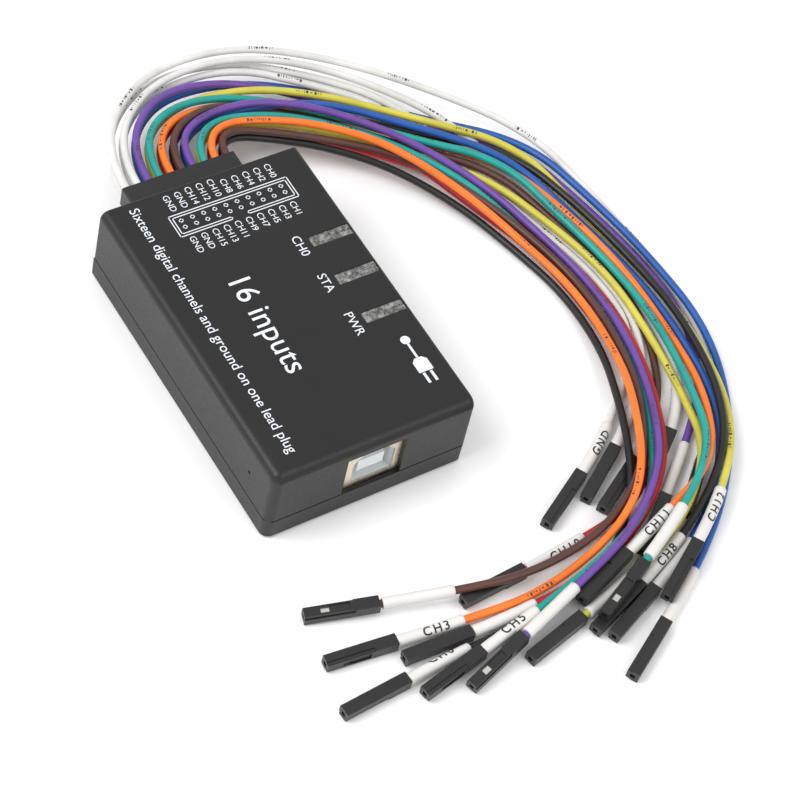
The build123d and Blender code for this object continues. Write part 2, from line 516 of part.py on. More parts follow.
def make_plug_housing():
    """The plug's plastic body: a cavity for each terminal, a pin hole in front, a wire hole behind."""
    middle_y = (PLUG_FRONT_Y + PLUG_BACK_Y) / 2
    body = centred_block(
        HEADER_X, middle_y, PLUG_WIDTH, PLUG_BACK_Y - PLUG_FRONT_Y, PLUG_BOTTOM_Z, PLUG_TOP_Z
    )
    body = chamfer(body.edges().filter_by(Axis.Y), PLUG_CHAMFER)
    cavity_front_y = PLUG_FRONT_Y + PLUG_NOSE
    cavity_back_y = PLUG_BACK_Y - LEAD_ENTRY
    window_y = cavity_back_y - PLUG_WINDOW_SETBACK
    for x, z, row in pin_places():
        body -= row_bar(x, z, TERMINAL_CAVITY_SIDE, cavity_front_y, cavity_back_y)
        body -= row_bar(x, z, PIN_HOLE_SIDE, PLUG_FRONT_Y - 1, cavity_front_y + PIN_HOLE_OVERLAP)
        body -= Pos(x, PLUG_BACK_Y, z) * Rot(90, 0, 0) * Cylinder(LEAD_BORE_RADIUS, 2 * LEAD_ENTRY + 1)
        window_z = (z, PLUG_TOP_Z + 1) if row else (PLUG_BOTTOM_Z - 1, z)
        body -= centred_block(x, window_y, WINDOW_WIDTH, PLUG_WINDOW_LENGTH, *window_z)
    return body


def make_plug_terminals():
    """Twenty crimp terminals, each a bar with a square socket for its pin."""
    terminals = []
    for x, z, row in pin_places():
        front_y = PLUG_FRONT_Y + PLUG_NOSE
        terminal = row_bar(x, z, TERMINAL_SIDE, front_y, PLUG_BACK_Y - LEAD_ENTRY)
        terminal -= row_bar(x, z, TERMINAL_SOCKET_SIDE, front_y - 1, front_y + TERMINAL_SOCKET_DEPTH)
        terminals.append(terminal)
    return terminals


def bend_radii(points):
    """A radius for each bend that uses up the same share of the shorter straight run beside it."""
    radii = []
    for before, corner, after in zip(points, points[1:], points[2:]):
        run_in = Vector(*corner) - Vector(*before)
        run_out = Vector(*after) - Vector(*corner)
        turn = math.radians(run_in.get_angle(run_out))
        radii.append(BEND_SHARE * min(run_in.length, run_out.length) / math.tan(turn / 2))
    return radii


def lead_path(points):
    """A lead's centreline: straight runs joined by tangent arcs."""
    return FilletPolyline(*points, radius=bend_radii(points))


def make_tube(path, section):
    """A section swept along a path from its start."""
    start = Plane(origin=path @ 0, z_dir=path % 0)
    return sweep(start * section, path=path)


def make_sleeve(path):
    """The label sleeve, slipped over the lead just behind the probe housing."""
    end = 1 - SLEEVE_START / path.length
    start = end - SLEEVE_LENGTH / path.length
    section = Circle(SLEEVE_RADIUS) - Circle(SLEEVE_BORE_RADIUS)
    return make_tube(path.trim(start, end), section)


def probe_plane(points, roll):
    """The probe's own frame: X runs on along the lead, Z is the side with the latch window."""
    forward = (Vector(*points[-1]) - Vector(*points[-2])).normalized()
    upward = (Vector(0, 0, 1) - forward * forward.Z).normalized()
    window_side = upward.rotate(Axis((0, 0, 0), forward), roll)
    return Plane(origin=points[-1], x_dir=forward, z_dir=window_side)


def make_probe_housing():
    """One probe housing in its own frame, with the wire's end at the origin."""
    half = HOUSING_SIDE / 2
    body = block(-HOUSING_TAIL, HOUSING_NOSE, -half, half, -half, half)
    body = chamfer(body.edges().filter_by(Axis.X), HOUSING_CHAMFER)
    for y in (-half, half):
        step_y = (y - HOUSING_STEP, y + HOUSING_STEP)
        body -= block(HOUSING_STEP_START, HOUSING_NOSE + 1, *step_y, HOUSING_STEP_FOOT, half + 1)
    body -= block(LATCH_START, LATCH_END, -LATCH_WIDTH / 2, LATCH_WIDTH / 2, half - LATCH_DEPTH, half + 1)
    cavity = TERMINAL_CAVITY_SIDE / 2
    cavity_end = HOUSING_NOSE - HOUSING_FRONT_WALL
    body -= block(0, cavity_end, -cavity, cavity, -cavity, cavity)
    body -= Pos(-HOUSING_TAIL, 0, 0) * Rot(0, 90, 0) * Cylinder(LEAD_BORE_RADIUS, 2 * HOUSING_TAIL + 1)
    hole = PROBE_HOLE_SIDE / 2
    body -= block(cavity_end - 1, HOUSING_NOSE + 1, -hole, hole, -hole, hole)
    window_end = WINDOW_START + WINDOW_LENGTH
    return body - block(WINDOW_START, window_end, -WINDOW_WIDTH / 2, WINDOW_WIDTH / 2, 0, half + 1)


def make_probe_terminal():
    """The crimp terminal inside a probe housing, in the housing's frame."""
    half = TERMINAL_SIDE / 2
    socket = TERMINAL_SOCKET_SIDE / 2
    length = HOUSING_NOSE - HOUSING_FRONT_WALL
    terminal = block(0, length, -half, half, -half, half)
    return terminal - block(length - TERMINAL_SOCKET_DEPTH, length + 1, -socket, socket, -socket, socket)


def lead_set_nodes():
    """Every lead with its housing, and the sleeves and probe terminals as two groups."""
    nodes = {}
    sleeves = []
    terminals = []
    for name, points in LEAD_ROUTES.items():
        path = lead_path(points)
        place = Location(probe_plane(points, HOUSING_ROLLS[name]))
        lead = make_tube(path, Circle(LEAD_RADIUS))
        nodes[f"lead_{name}"] = [lead]
        nodes[f"probe_housing_{name}"] = [place * make_probe_housing()]
        sleeves.append(make_sleeve(path))
        terminals.append(place * make_probe_terminal())
        ratio = lead.volume / (math.pi * LEAD_RADIUS**2 * path.length)
        tightest = min(bend_radii(points))
        print(f"lead_{name}: length {path.length:.1f}, radii {tightest:.1f} up, volume ratio {ratio:.4f}")
    nodes["label_sleeves"] = sleeves
    nodes["probe_terminals"] = terminals
    return nodes


def write_node(name, shapes):
    """Write one node's solids to its own file."""
    solids = [solid for shape in shapes for solid in shape.solids()]
    node = solids[0] if len(solids) == 1 else Compound(children=solids)
    node.label = name
    export_step(node, f"parts/{name}.step")


def main():
    os.makedirs("parts", exist_ok=True)
    nodes = {
        "case_top": [make_case_top()],
        "case_bottom": [make_case_bottom()],
        "circuit_board": [make_circuit_board()],
        "case_screws": make_case_screws(),
        "usb_shell": [make_usb_shell()],
        "usb_insulator": [make_usb_insulator()],
        "usb_contacts": make_usb_contacts(),
        "header_body": [make_header_body()],
        "header_pins": make_header_pins(),
        "light_pipes": make_light_pipes(),
        "plug_housing": [make_plug_housing()],
        "plug_terminals": make_plug_terminals(),
    }
    nodes.update(board_components())
    nodes.update(lead_set_nodes())
    for name, shapes in nodes.items():
        write_node(name, shapes)


main()
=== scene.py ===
"""The logic analyzer's looks: camera, leads, sleeves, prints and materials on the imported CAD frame."""

import bisect
import json
import math
import random

import bmesh
import bpy
from mathutils import Matrix, Vector


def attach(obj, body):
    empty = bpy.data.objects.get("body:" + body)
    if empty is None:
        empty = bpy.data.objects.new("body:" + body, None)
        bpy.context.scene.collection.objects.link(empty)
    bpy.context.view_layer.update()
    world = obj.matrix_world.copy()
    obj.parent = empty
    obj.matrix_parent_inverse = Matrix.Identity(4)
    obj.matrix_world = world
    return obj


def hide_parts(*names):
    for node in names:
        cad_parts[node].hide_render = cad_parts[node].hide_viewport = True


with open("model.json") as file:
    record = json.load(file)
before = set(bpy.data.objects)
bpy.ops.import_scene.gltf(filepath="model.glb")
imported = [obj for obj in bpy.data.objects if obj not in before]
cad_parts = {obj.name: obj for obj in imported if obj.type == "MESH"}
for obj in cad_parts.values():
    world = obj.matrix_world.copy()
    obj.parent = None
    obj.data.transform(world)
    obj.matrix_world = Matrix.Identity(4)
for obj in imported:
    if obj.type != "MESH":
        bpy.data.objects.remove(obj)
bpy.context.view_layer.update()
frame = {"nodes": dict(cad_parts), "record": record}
MM = 0.001

# Camera
CAMERA_AZIMUTH = math.radians(-43.52)
CAMERA_ELEVATION = math.radians(52.41)
CAMERA_ROLL = math.radians(15.48)
CAMERA_DISTANCE = 0.53993
CAMERA_TARGET = Vector((0.01885, -0.01759, 0.0))
CAMERA_LENS = 123.05

# Leads, in metres: the same points as the CAD tubes
LEAD_RADIUS = 0.8 * MM
LEAD_ROUTES = {
    "ch0": [
        (0.01213, 0.0416, 0.00853), (0.01213, 0.047, 0.0085), (0.017, 0.0506, 0.008),
        (0.026, 0.0474, 0.0064), (0.036, 0.0418, 0.0052), (0.0465, 0.0327, 0.0038),
        (0.0555, 0.019, 0.002), (0.0608, 0.004, 0.0009), (0.0638, -0.009, 0.0008),
        (0.0623, -0.025, 0.0022), (0.0572, -0.0385, 0.0036), (0.052, -0.05, 0.004),
        (0.0463, -0.0588, 0.004), (0.0365, -0.0678, 0.00085), (0.0175, -0.0726, 0.0009),
        (0.0005, -0.0725, 0.0012), (-0.0165, -0.0737, 0.0013)],
    "ch1": [
        (0.01213, 0.0416, 0.01107), (0.01213, 0.0473, 0.011), (0.0169, 0.0509, 0.0098),
        (0.0262, 0.0478, 0.008), (0.0365, 0.0426, 0.0066), (0.0488, 0.0346, 0.0052),
        (0.0584, 0.0203, 0.0042), (0.0644, 0.005, 0.003), (0.0673, -0.009, 0.0025),
        (0.0659, -0.025, 0.0039), (0.061, -0.0405, 0.0053), (0.051, -0.0555, 0.0062),
        (0.0375, -0.063, 0.0044), (0.02, -0.0652, 0.0038), (0.003, -0.0618, 0.0034),
        (-0.0133, -0.0568, 0.0022)],
    "ch2": [
        (0.00959, 0.0416, 0.00853), (0.00959, 0.0472, 0.0085), (0.0155, 0.0524, 0.0076),
        (0.0268, 0.05, 0.0059), (0.0372, 0.0444, 0.0043), (0.0486, 0.035, 0.003),
        (0.0623, 0.022, 0.0025), (0.0675, 0.0057, 0.001), (0.071, -0.009, 0.0008),
        (0.0696, -0.025, 0.0025), (0.0652, -0.04, 0.0036), (0.0575, -0.0555, 0.0036),
        (0.0415, -0.0664, 0.0031), (0.026, -0.0701, 0.00225), (0.009, -0.0703, 0.0013),
        (-0.0004, -0.0699, 0.00135)],
    "ch3": [
        (0.00959, 0.0416, 0.01107), (0.00959, 0.0472, 0.011), (0.0154, 0.0528, 0.0105),
        (0.0268, 0.05, 0.0095), (0.0376, 0.0444, 0.0085), (0.0479, 0.0352, 0.0073),
        (0.0568, 0.0196, 0.0049), (0.062, 0.0045, 0.003), (0.0653, -0.009, 0.0025),
        (0.0639, -0.025, 0.0039), (0.059, -0.0395, 0.0073), (0.0495, -0.0575, 0.0077),
        (0.038, -0.065, 0.0049), (0.02, -0.0686, 0.0016), (0.0026, -0.0672, 0.0014),
        (-0.0143, -0.0653, 0.0014)],
    "ch4": [
        (0.00705, 0.0416, 0.00853), (0.00705, 0.0475, 0.0085), (0.0139, 0.0542, 0.0077),
        (0.0272, 0.0522, 0.006), (0.0382, 0.0464, 0.0046), (0.0504, 0.0368, 0.0035),
        (0.0647, 0.023, 0.0025), (0.0705, 0.0065, 0.0025), (0.0742, -0.009, 0.0025),
        (0.0736, -0.025, 0.0025), (0.0705, -0.042, 0.0035), (0.0675, -0.0545, 0.0034),
        (0.057, -0.0646, 0.00385), (0.0455, -0.0705, 0.0019), (0.0305, -0.0747, 0.0013),
        (0.0209, -0.077, 0.0013)],
    "ch5": [
        (0.00705, 0.0416, 0.01107), (0.00705, 0.0475, 0.011), (0.0139, 0.0544, 0.0102),
        (0.0272, 0.0526, 0.0084), (0.0386, 0.0468, 0.0065), (0.0502, 0.0366, 0.0052),
        (0.0601, 0.021, 0.0038), (0.0655, 0.0052, 0.001), (0.0682, -0.009, 0.0008),
        (0.0673, -0.025, 0.0022), (0.0632, -0.04, 0.0038), (0.0502, -0.0613, 0.00505),
        (0.034, -0.0682, 0.0043), (0.0156, -0.0722, 0.0033), (-0.0011, -0.0754, 0.0023)],
    "ch6": [
        (0.00451, 0.0416, 0.00853), (0.00451, 0.048, 0.0085), (0.008, 0.0537, 0.0082),
        (0.0162, 0.0564, 0.0079), (0.0274, 0.0558, 0.0076), (0.0406, 0.0513, 0.0075),
        (0.055, 0.0397, 0.0061), (0.0709, 0.0258, 0.0042), (0.0769, 0.008, 0.0012),
        (0.0803, -0.009, 0.0008), (0.0798, -0.025, 0.0025), (0.0763, -0.047, 0.0036),
        (0.0663, -0.062, 0.0017), (0.0523, -0.0721, 0.0013), (0.0375, -0.0782, 0.00135)],
    "ch7": [
        (0.00451, 0.0416, 0.01107), (0.00451, 0.048, 0.011), (0.008, 0.0538, 0.0108),
        (0.0163, 0.0564, 0.0103), (0.0272, 0.0556, 0.0094), (0.039, 0.0489, 0.0086),
        (0.0514, 0.0376, 0.0064), (0.0617, 0.0217, 0.0042), (0.0666, 0.0055, 0.0028),
        (0.0694, -0.009, 0.0025), (0.068, -0.025, 0.0039), (0.0633, -0.0405, 0.0053),
        (0.055, -0.056, 0.0065), (0.04, -0.0668, 0.0064), (0.0236, -0.072, 0.0051),
        (0.0073, -0.0768, 0.003)],
    "ch8": [
        (0.00197, 0.0416, 0.00853), (0.00197, 0.048, 0.0085), (0.006, 0.0548, 0.0082),
        (0.0158, 0.0583, 0.0072), (0.028, 0.0568, 0.0032), (0.0408, 0.052, 0.0033),
        (0.0548, 0.0396, 0.0043), (0.0732, 0.0269, 0.0029), (0.0783, 0.0086, 0.0031),
        (0.0814, -0.009, 0.0025), (0.0813, -0.025, 0.0042), (0.0775, -0.0445, 0.0053),
        (0.0695, -0.0585, 0.0048), (0.0512, -0.0707, 0.0028), (0.0351, -0.0762, 0.0021)],
    "ch9": [
        (0.00197, 0.0416, 0.01107), (0.00197, 0.048, 0.011), (0.006, 0.0548, 0.0108),
        (0.0158, 0.0582, 0.0101), (0.0274, 0.0574, 0.0052), (0.0394, 0.0497, 0.0041),
        (0.0524, 0.0376, 0.0027), (0.0668, 0.024, 0.0034), (0.0725, 0.007, 0.0013),
        (0.0761, -0.009, 0.0008), (0.0752, -0.024, 0.0008), (0.065, -0.044, 0.00125),
        (0.0511, -0.0518, 0.0013)],
    "ch10": [
        (-0.00057, 0.0416, 0.00853), (-0.00057, 0.0485, 0.0085), (0.004, 0.0564, 0.008),
        (0.0146, 0.06, 0.006), (0.0278, 0.0572, 0.0014), (0.0398, 0.0506, 0.0015),
        (0.0526, 0.0372, 0.0008), (0.0582, 0.0202, 0.0008), (0.0639, 0.0048, 0.0008),
        (0.066, -0.009, 0.0008), (0.065, -0.025, 0.0023), (0.0608, -0.0411, 0.0034),
        (0.0532, -0.0538, 0.0038), (0.0476, -0.0594, 0.002), (0.0315, -0.0619, 0.00135),
        (0.0162, -0.0629, 0.00135)],
    "ch11": [
        (-0.00057, 0.0416, 0.01107), (-0.00057, 0.0485, 0.011), (0.004, 0.0562, 0.0107),
        (0.014, 0.0596, 0.0084), (0.0274, 0.0596, 0.0041), (0.0416, 0.0532, 0.002),
        (0.0546, 0.0394, 0.0025), (0.0695, 0.0252, 0.0031), (0.0752, 0.0076, 0.0029),
        (0.0781, -0.009, 0.0025), (0.0777, -0.026, 0.0026), (0.0745, -0.044, 0.0046),
        (0.066, -0.059, 0.0058), (0.0507, -0.065, 0.0049), (0.0356, -0.0701, 0.00385)],
    "ch12": [
        (-0.00311, 0.0416, 0.00853), (-0.00311, 0.0485, 0.0085), (0.0014, 0.0574, 0.0082),
        (0.0114, 0.0624, 0.0079), (0.0266, 0.0616, 0.0074), (0.0412, 0.0542, 0.0068),
        (0.0566, 0.0416, 0.0058), (0.0756, 0.028, 0.0029), (0.0791, 0.0087, 0.0011),
        (0.0826, -0.009, 0.0008), (0.0824, -0.027, 0.0027), (0.078, -0.0496, 0.0036),
        (0.0643, -0.0657, 0.0045), (0.0498, -0.0746, 0.0039)],
    "ch13": [
        (-0.00311, 0.0416, 0.01107), (-0.00311, 0.0485, 0.011), (0.0014, 0.0572, 0.0108),
        (0.0112, 0.061, 0.0102), (0.025, 0.0598, 0.0072), (0.0398, 0.0509, 0.0054),
        (0.053, 0.0378, 0.005), (0.0683, 0.0246, 0.0054), (0.0732, 0.0072, 0.0032),
        (0.0764, -0.009, 0.0025), (0.0758, -0.025, 0.004), (0.072, -0.0425, 0.0052),
        (0.0665, -0.0565, 0.0073), (0.052, -0.0672, 0.0067), (0.0366, -0.0743, 0.0053)],
    "ch14": [
        (-0.00565, 0.0416, 0.00853), (-0.00565, 0.049, 0.0085), (-0.0008, 0.0592, 0.0082),
        (0.01, 0.0656, 0.0076), (0.0274, 0.065, 0.0056), (0.0436, 0.0578, 0.0026),
        (0.0604, 0.0446, 0.001), (0.078, 0.0289, 0.0023), (0.0824, 0.0095, 0.0025),
        (0.0852, -0.009, 0.0025), (0.0856, -0.03, 0.0027), (0.079, -0.0485, 0.0009),
        (0.0665, -0.0645, 0.0009), (0.0501, -0.0772, 0.0012), (0.0353, -0.0856, 0.0013)],
    "ch15": [
        (-0.00565, 0.0416, 0.01107), (-0.00565, 0.049, 0.011), (-0.0008, 0.0592, 0.0108),
        (0.01, 0.0654, 0.0103), (0.0266, 0.0636, 0.0074), (0.042, 0.056, 0.0026),
        (0.0588, 0.0434, 0.0009), (0.0766, 0.0284, 0.0008), (0.081, 0.0091, 0.0008),
        (0.0842, -0.009, 0.0008), (0.084, -0.024, 0.0008), (0.0787, -0.0385, 0.0008),
        (0.0654, -0.0517, 0.0012), (0.0519, -0.062, 0.0013)],
    "gnd1": [
        (-0.00819, 0.0416, 0.00853), (-0.00819, 0.049, 0.0085), (-0.0031, 0.0606, 0.0081),
        (0.0093, 0.0682, 0.0079), (0.0274, 0.0674, 0.0076), (0.0415, 0.0586, 0.0052),
        (0.0535, 0.0485, 0.0036), (0.059, 0.037, 0.0008), (0.064, 0.0228, 0.0008),
        (0.0692, 0.0062, 0.0008), (0.0727, -0.009, 0.0008), (0.0717, -0.024, 0.0008),
        (0.0536, -0.0419, 0.0015), (0.039, -0.0501, 0.0014)],
    "gnd2": [
        (-0.00819, 0.0416, 0.01107), (-0.00819, 0.049, 0.011), (-0.003, 0.0606, 0.0107),
        (0.0096, 0.0686, 0.0102), (0.0282, 0.0688, 0.0094), (0.0446, 0.0608, 0.0076),
        (0.0604, 0.0458, 0.0046), (0.0665, 0.0355, 0.0025), (0.0705, 0.026, 0.0008),
        (0.0742, 0.0074, 0.0008), (0.0778, -0.009, 0.0008), (0.077, -0.024, 0.0008),
        (0.0722, -0.0416, 0.0013), (0.0618, -0.0494, 0.0013)],
    "gnd3": [
        (-0.01073, 0.0416, 0.00853), (-0.01073, 0.0493, 0.0085), (-0.0053, 0.062, 0.008),
        (0.0075, 0.071, 0.0075), (0.027, 0.0706, 0.0066), (0.043, 0.0604, 0.0054),
        (0.055, 0.0496, 0.0042), (0.061, 0.038, 0.0014), (0.0657, 0.0235, 0.0008),
        (0.0709, 0.0066, 0.0008), (0.0744, -0.009, 0.0008), (0.0734, -0.024, 0.0008),
        (0.0633, -0.0386, 0.0012), (0.049, -0.0478, 0.0013)],
    "gnd4": [
        (-0.01073, 0.0416, 0.01107), (-0.01073, 0.0493, 0.011), (-0.0053, 0.062, 0.0108),
        (0.0082, 0.0712, 0.0103), (0.028, 0.0718, 0.0094), (0.0456, 0.0632, 0.008),
        (0.0626, 0.048, 0.0068), (0.0794, 0.0295, 0.0042), (0.0841, 0.0099, 0.0012),
        (0.0864, -0.009, 0.0008), (0.0856, -0.0285, 0.0008), (0.0768, -0.0466, 0.0012),
        (0.0642, -0.0578, 0.0013)],
}

LEAD_COLOURS = {
    "ch0": "black", "ch1": "brown", "ch2": "red", "ch3": "orange", "ch4": "yellow",
    "ch5": "green", "ch6": "blue", "ch7": "purple", "ch8": "black", "ch9": "brown",
    "ch10": "red", "ch11": "orange", "ch12": "yellow", "ch13": "green", "ch14": "blue",
    "ch15": "purple", "gnd1": "white", "gnd2": "white", "gnd3": "white", "gnd4": "white",
}

# Base colours, linear
WIRE_COLOURS = {
    "black": (0.012, 0.011, 0.011), "brown": (0.09, 0.034, 0.026), "red": (0.47, 0.012, 0.022),
    "orange": (0.93, 0.19, 0.02), "yellow": (0.6, 0.54, 0.07), "green": (0.01, 0.32, 0.28),
    "blue": (0.015, 0.09, 0.36), "purple": (0.14, 0.06, 0.32), "white": (0.69, 0.68, 0.66),
}
PRINT_COLOUR = (0.72, 0.75, 0.8)
INK_COLOUR = (0.015, 0.015, 0.017)
WORN_INK_COLOUR = (0.06, 0.05, 0.05)

# How far the edges of the CAD pieces are softened, and how sharp a corner has to be for that
EDGE_RADII = {
    "case_top": 0.1 * MM, "case_bottom": 0.1 * MM, "usb_shell": 0.08 * MM, "usb_insulator": 0.12 * MM,
}
HOUSING_EDGE_RADIUS = 0.06 * MM
EDGE_ANGLE = math.radians(50)

# Label sleeves
SLEEVE_RADIUS = 1.2 * MM
SLEEVE_START = 3.0 * MM
SLEEVE_LENGTH = 14.0 * MM
SLEEVE_LIP = 0.12 * MM
SLEEVE_SIDES = 28
SLEEVE_STEPS = 16
SLEEVE_SWELL = (-0.02, 0.03)
# How far some sleeves have slipped back along their wire, in millimetres
SLEEVE_SLIPS = {"ch1": 0.6, "ch2": 0.3, "ch4": 1.5, "ch7": 0.9, "ch10": 0.5, "ch13": 1.5}
SLEEVE_TEXT_HEIGHT = 1.75 * MM
SLEEVE_TEXT_START = 5.2 * MM
SLEEVE_TEXT_STEP = 0.16 * MM
SLEEVE_TEXT_LIFT = 0.045 * MM
# How far each label is turned about its sleeve from the top, towards +Y
SLEEVE_TEXT_TURNS = {
    "ch0": 55, "ch1": 150, "ch2": 130, "ch3": -18, "ch4": 140, "ch5": 20, "ch6": 120, "ch7": 150,
    "ch8": -15, "ch9": 120, "ch10": -35, "ch11": -10, "ch12": -20, "ch13": 130, "ch14": 150, "ch15": 150,
    "gnd1": -25, "gnd2": 140, "gnd3": 120, "gnd4": 150,
}

# Groups of dashes printed along the wires; heights are half angles, widths and gaps in millimetres
MARKS_START = 24 * MM
MARKS_START_SPREAD = 12
MARKS_END = 12 * MM
MARKS_IN_GROUP = 9
MARK_TURN = 0.5
MARK_JITTER = 0.12
MARK_HEIGHTS = (0.16, 0.3, 0.42)
MARK_WIDTHS = (0.12, 0.2, 0.5)
MARK_GAPS = (0.25, 0.4, 0.55)
GROUP_GAP = (24, 30)
MARK_LIFT = 0.02 * MM
MARK_ROWS = 4

# Half the stretch of a lead that gives its direction at a point
DIRECTION_REACH = 0.6 * MM

# Prints on the case's top, which all read along -Y
CASE_TOP_Z = 19.4 * MM
PRINT_LIFT = 0.012 * MM
CAP_SHARE = 0.7
DISC_SIDES = 28

# Surroundings
FLOOR_HALF = 3.0
FLOOR_DROP = 0.0002
LIGHT_TARGET = (0.02, -0.02, 0)
LIGHT_SIZE = 0.6
ROOM_BRIGHTNESS = 0.8


def add_camera():
    """The camera, at the photograph's angle."""
    flat = math.cos(CAMERA_ELEVATION)
    back = Vector((
        math.sin(CAMERA_AZIMUTH) * flat,
        -math.cos(CAMERA_AZIMUTH) * flat,
        math.sin(CAMERA_ELEVATION),
    ))
    level = (-back).cross(Vector((0, 0, 1))).normalized()
    upright = level.cross(-back)
    right = level * math.cos(CAMERA_ROLL) + upright * math.sin(CAMERA_ROLL)
    up = upright * math.cos(CAMERA_ROLL) - level * math.sin(CAMERA_ROLL)
    camera = bpy.data.objects.new("camera", bpy.data.cameras.new("camera"))
    turn = Matrix((right, up, back)).transposed().to_4x4()
    camera.matrix_world = Matrix.Translation(CAMERA_TARGET + back * CAMERA_DISTANCE) @ turn
    camera.data.lens = CAMERA_LENS
    camera.data.sensor_width = 36
    camera.data.clip_start = 0.01
    camera.data.clip_end = 20
    bpy.context.scene.collection.objects.link(camera)
    bpy.context.scene.camera = camera


# Materials

def new_material(name):
    """A node material, with its node tree and its shader."""
    material = bpy.data.materials.new(name)
    material.use_nodes = True
    tree = material.node_tree
    shader = tree.nodes["Principled BSDF"]
    return material, tree, shader


def noise(tree, scale, detail=3.0, roughness=0.6, stretch=(1, 1, 1)):
    """A noise texture in object space, with its scale in features per metre."""
    place = tree.nodes.new("ShaderNodeTexCoord")
    mapping = tree.nodes.new("ShaderNodeMapping")
    mapping.inputs["Scale"].default_value = stretch
    texture = tree.nodes.new("ShaderNodeTexNoise")
    texture.inputs["Scale"].default_value = scale
    texture.inputs["Detail"].default_value = detail
    texture.inputs["Roughness"].default_value = roughness
    tree.links.new(place.outputs["Object"], mapping.inputs["Vector"])
    tree.links.new(mapping.outputs["Vector"], texture.inputs["Vector"])
    return texture


def ramp(tree, source, low, high, start=0.35, end=0.65):
    """A colour ramp between two colours, driven by a texture's factor."""
    node = tree.nodes.new("ShaderNodeValToRGB")
    node.color_ramp.elements[0].position = start
    node.color_ramp.elements[1].position = end
    node.color_ramp.elements[0].color = (*low, 1)
    node.color_ramp.elements[1].color = (*high, 1)
    tree.links.new(source.outputs["Fac"], node.inputs["Fac"])
    return node


def spread(tree, source, low, high):
    """A number between two limits, driven by a texture's factor."""
    node = tree.nodes.new("ShaderNodeMapRange")
    node.inputs["From Min"].default_value = 0.3
    node.inputs["From Max"].default_value = 0.7
    node.inputs["To Min"].default_value = low
    node.inputs["To Max"].default_value = high
    tree.links.new(source.outputs["Fac"], node.inputs["Value"])
    return node


def bump(tree, shader, source, distance, strength=1.0):
    """A bump of a given depth in metres."""
    node = tree.nodes.new("ShaderNodeBump")
    node.inputs["Strength"].default_value = strength
    node.inputs["Distance"].default_value = distance
    tree.links.new(source.outputs["Fac"], node.inputs["Height"])
    tree.links.new(node.outputs["Normal"], shader.inputs["Normal"])


def shade(colour, factor):
    """A colour made lighter or darker."""
    return tuple(min(1.0, channel * factor) for channel in colour)


def moulded_plastic(name, colour, roughness, grain_scale, grain_depth, variation=0.12, coat=0.0, ior=1.5):
    """Moulded plastic: a fine grain in the surface, with slow changes of colour and gloss."""
    material, tree, shader = new_material(name)
    cloud = noise(tree, 60, detail=4)
    grain = noise(tree, grain_scale, detail=2, roughness=0.7)
    tint = ramp(tree, cloud, shade(colour, 1 - variation), shade(colour, 1 + variation))
    gloss = spread(tree, grain, roughness - 0.07, roughness + 0.07)
    tree.links.new(tint.outputs["Color"], shader.inputs["Base Color"])
    tree.links.new(gloss.outputs["Result"], shader.inputs["Roughness"])
    shader.inputs["IOR"].default_value = ior
    shader.inputs["Coat Weight"].default_value = coat
    shader.inputs["Coat Roughness"].default_value = 0.25
    bump(tree, shader, grain, grain_depth)
    return material


def sheet_metal(name, colour, roughness, scale, stretch=(1, 1, 1)):
    """Plated sheet metal with fine drawn streaks and faint stains."""
    material, tree, shader = new_material(name)
    streaks = noise(tree, scale, detail=4, stretch=stretch)
    stains = noise(tree, 250, detail=3)
    tint = ramp(tree, stains, shade(colour, 0.86), shade(colour, 1.08))
    gloss = spread(tree, streaks, roughness - 0.1, roughness + 0.1)
    tree.links.new(tint.outputs["Color"], shader.inputs["Base Color"])
    tree.links.new(gloss.outputs["Result"], shader.inputs["Roughness"])
    shader.inputs["Metallic"].default_value = 1.0
    bump(tree, shader, streaks, 0.01 * MM, 0.6)
    return material


def clear_moulding(name):
    """Clear plastic that is cloudy and mottled inside."""
    material, tree, shader = new_material(name)
    mottle = noise(tree, 900, detail=5, roughness=0.7)
    tint = ramp(tree, mottle, (0.13, 0.13, 0.125), (0.72, 0.72, 0.7), start=0.42, end=0.72)
    gloss = spread(tree, mottle, 0.16, 0.34)
    tree.links.new(tint.outputs["Color"], shader.inputs["Base Color"])
    tree.links.new(gloss.outputs["Result"], shader.inputs["Roughness"])
    shader.inputs["Transmission Weight"].default_value = 0.45
    shader.inputs["IOR"].default_value = 1.49
    bump(tree, shader, mottle, 0.05 * MM, 0.7)
    return material


def wire_insulation(name, colour):
    """Soft satin wire insulation: slightly uneven along its length."""
    material, tree, shader = new_material(name)
    waves = noise(tree, 110, detail=3)
    skin = noise(tree, 2200, detail=2)
    tint = ramp(tree, waves, shade(colour, 0.88), shade(colour, 1.07))
    gloss = spread(tree, skin, 0.34, 0.46)
    tree.links.new(tint.outputs["Color"], shader.inputs["Base Color"])
    tree.links.new(gloss.outputs["Result"], shader.inputs["Roughness"])
    shader.inputs["Subsurface Weight"].default_value = 0.06
    shader.inputs["Subsurface Radius"].default_value = (0.4 * MM, 0.3 * MM, 0.25 * MM)
    shader.inputs["IOR"].default_value = 1.47
    bump(tree, shader, skin, 0.012 * MM, 0.8)
    return material


def ink(name, colour, roughness):
    """Printed ink, a little thin in places."""
    material, tree, shader = new_material(name)
    wear = noise(tree, 1800, detail=4)
    tint = ramp(tree, wear, shade(colour, 0.82), shade(colour, 1.04), start=0.3, end=0.5)
    tree.links.new(tint.outputs["Color"], shader.inputs["Base Color"])
    shader.inputs["Roughness"].default_value = roughness
    bump(tree, shader, wear, 0.004 * MM, 0.5)
    return material


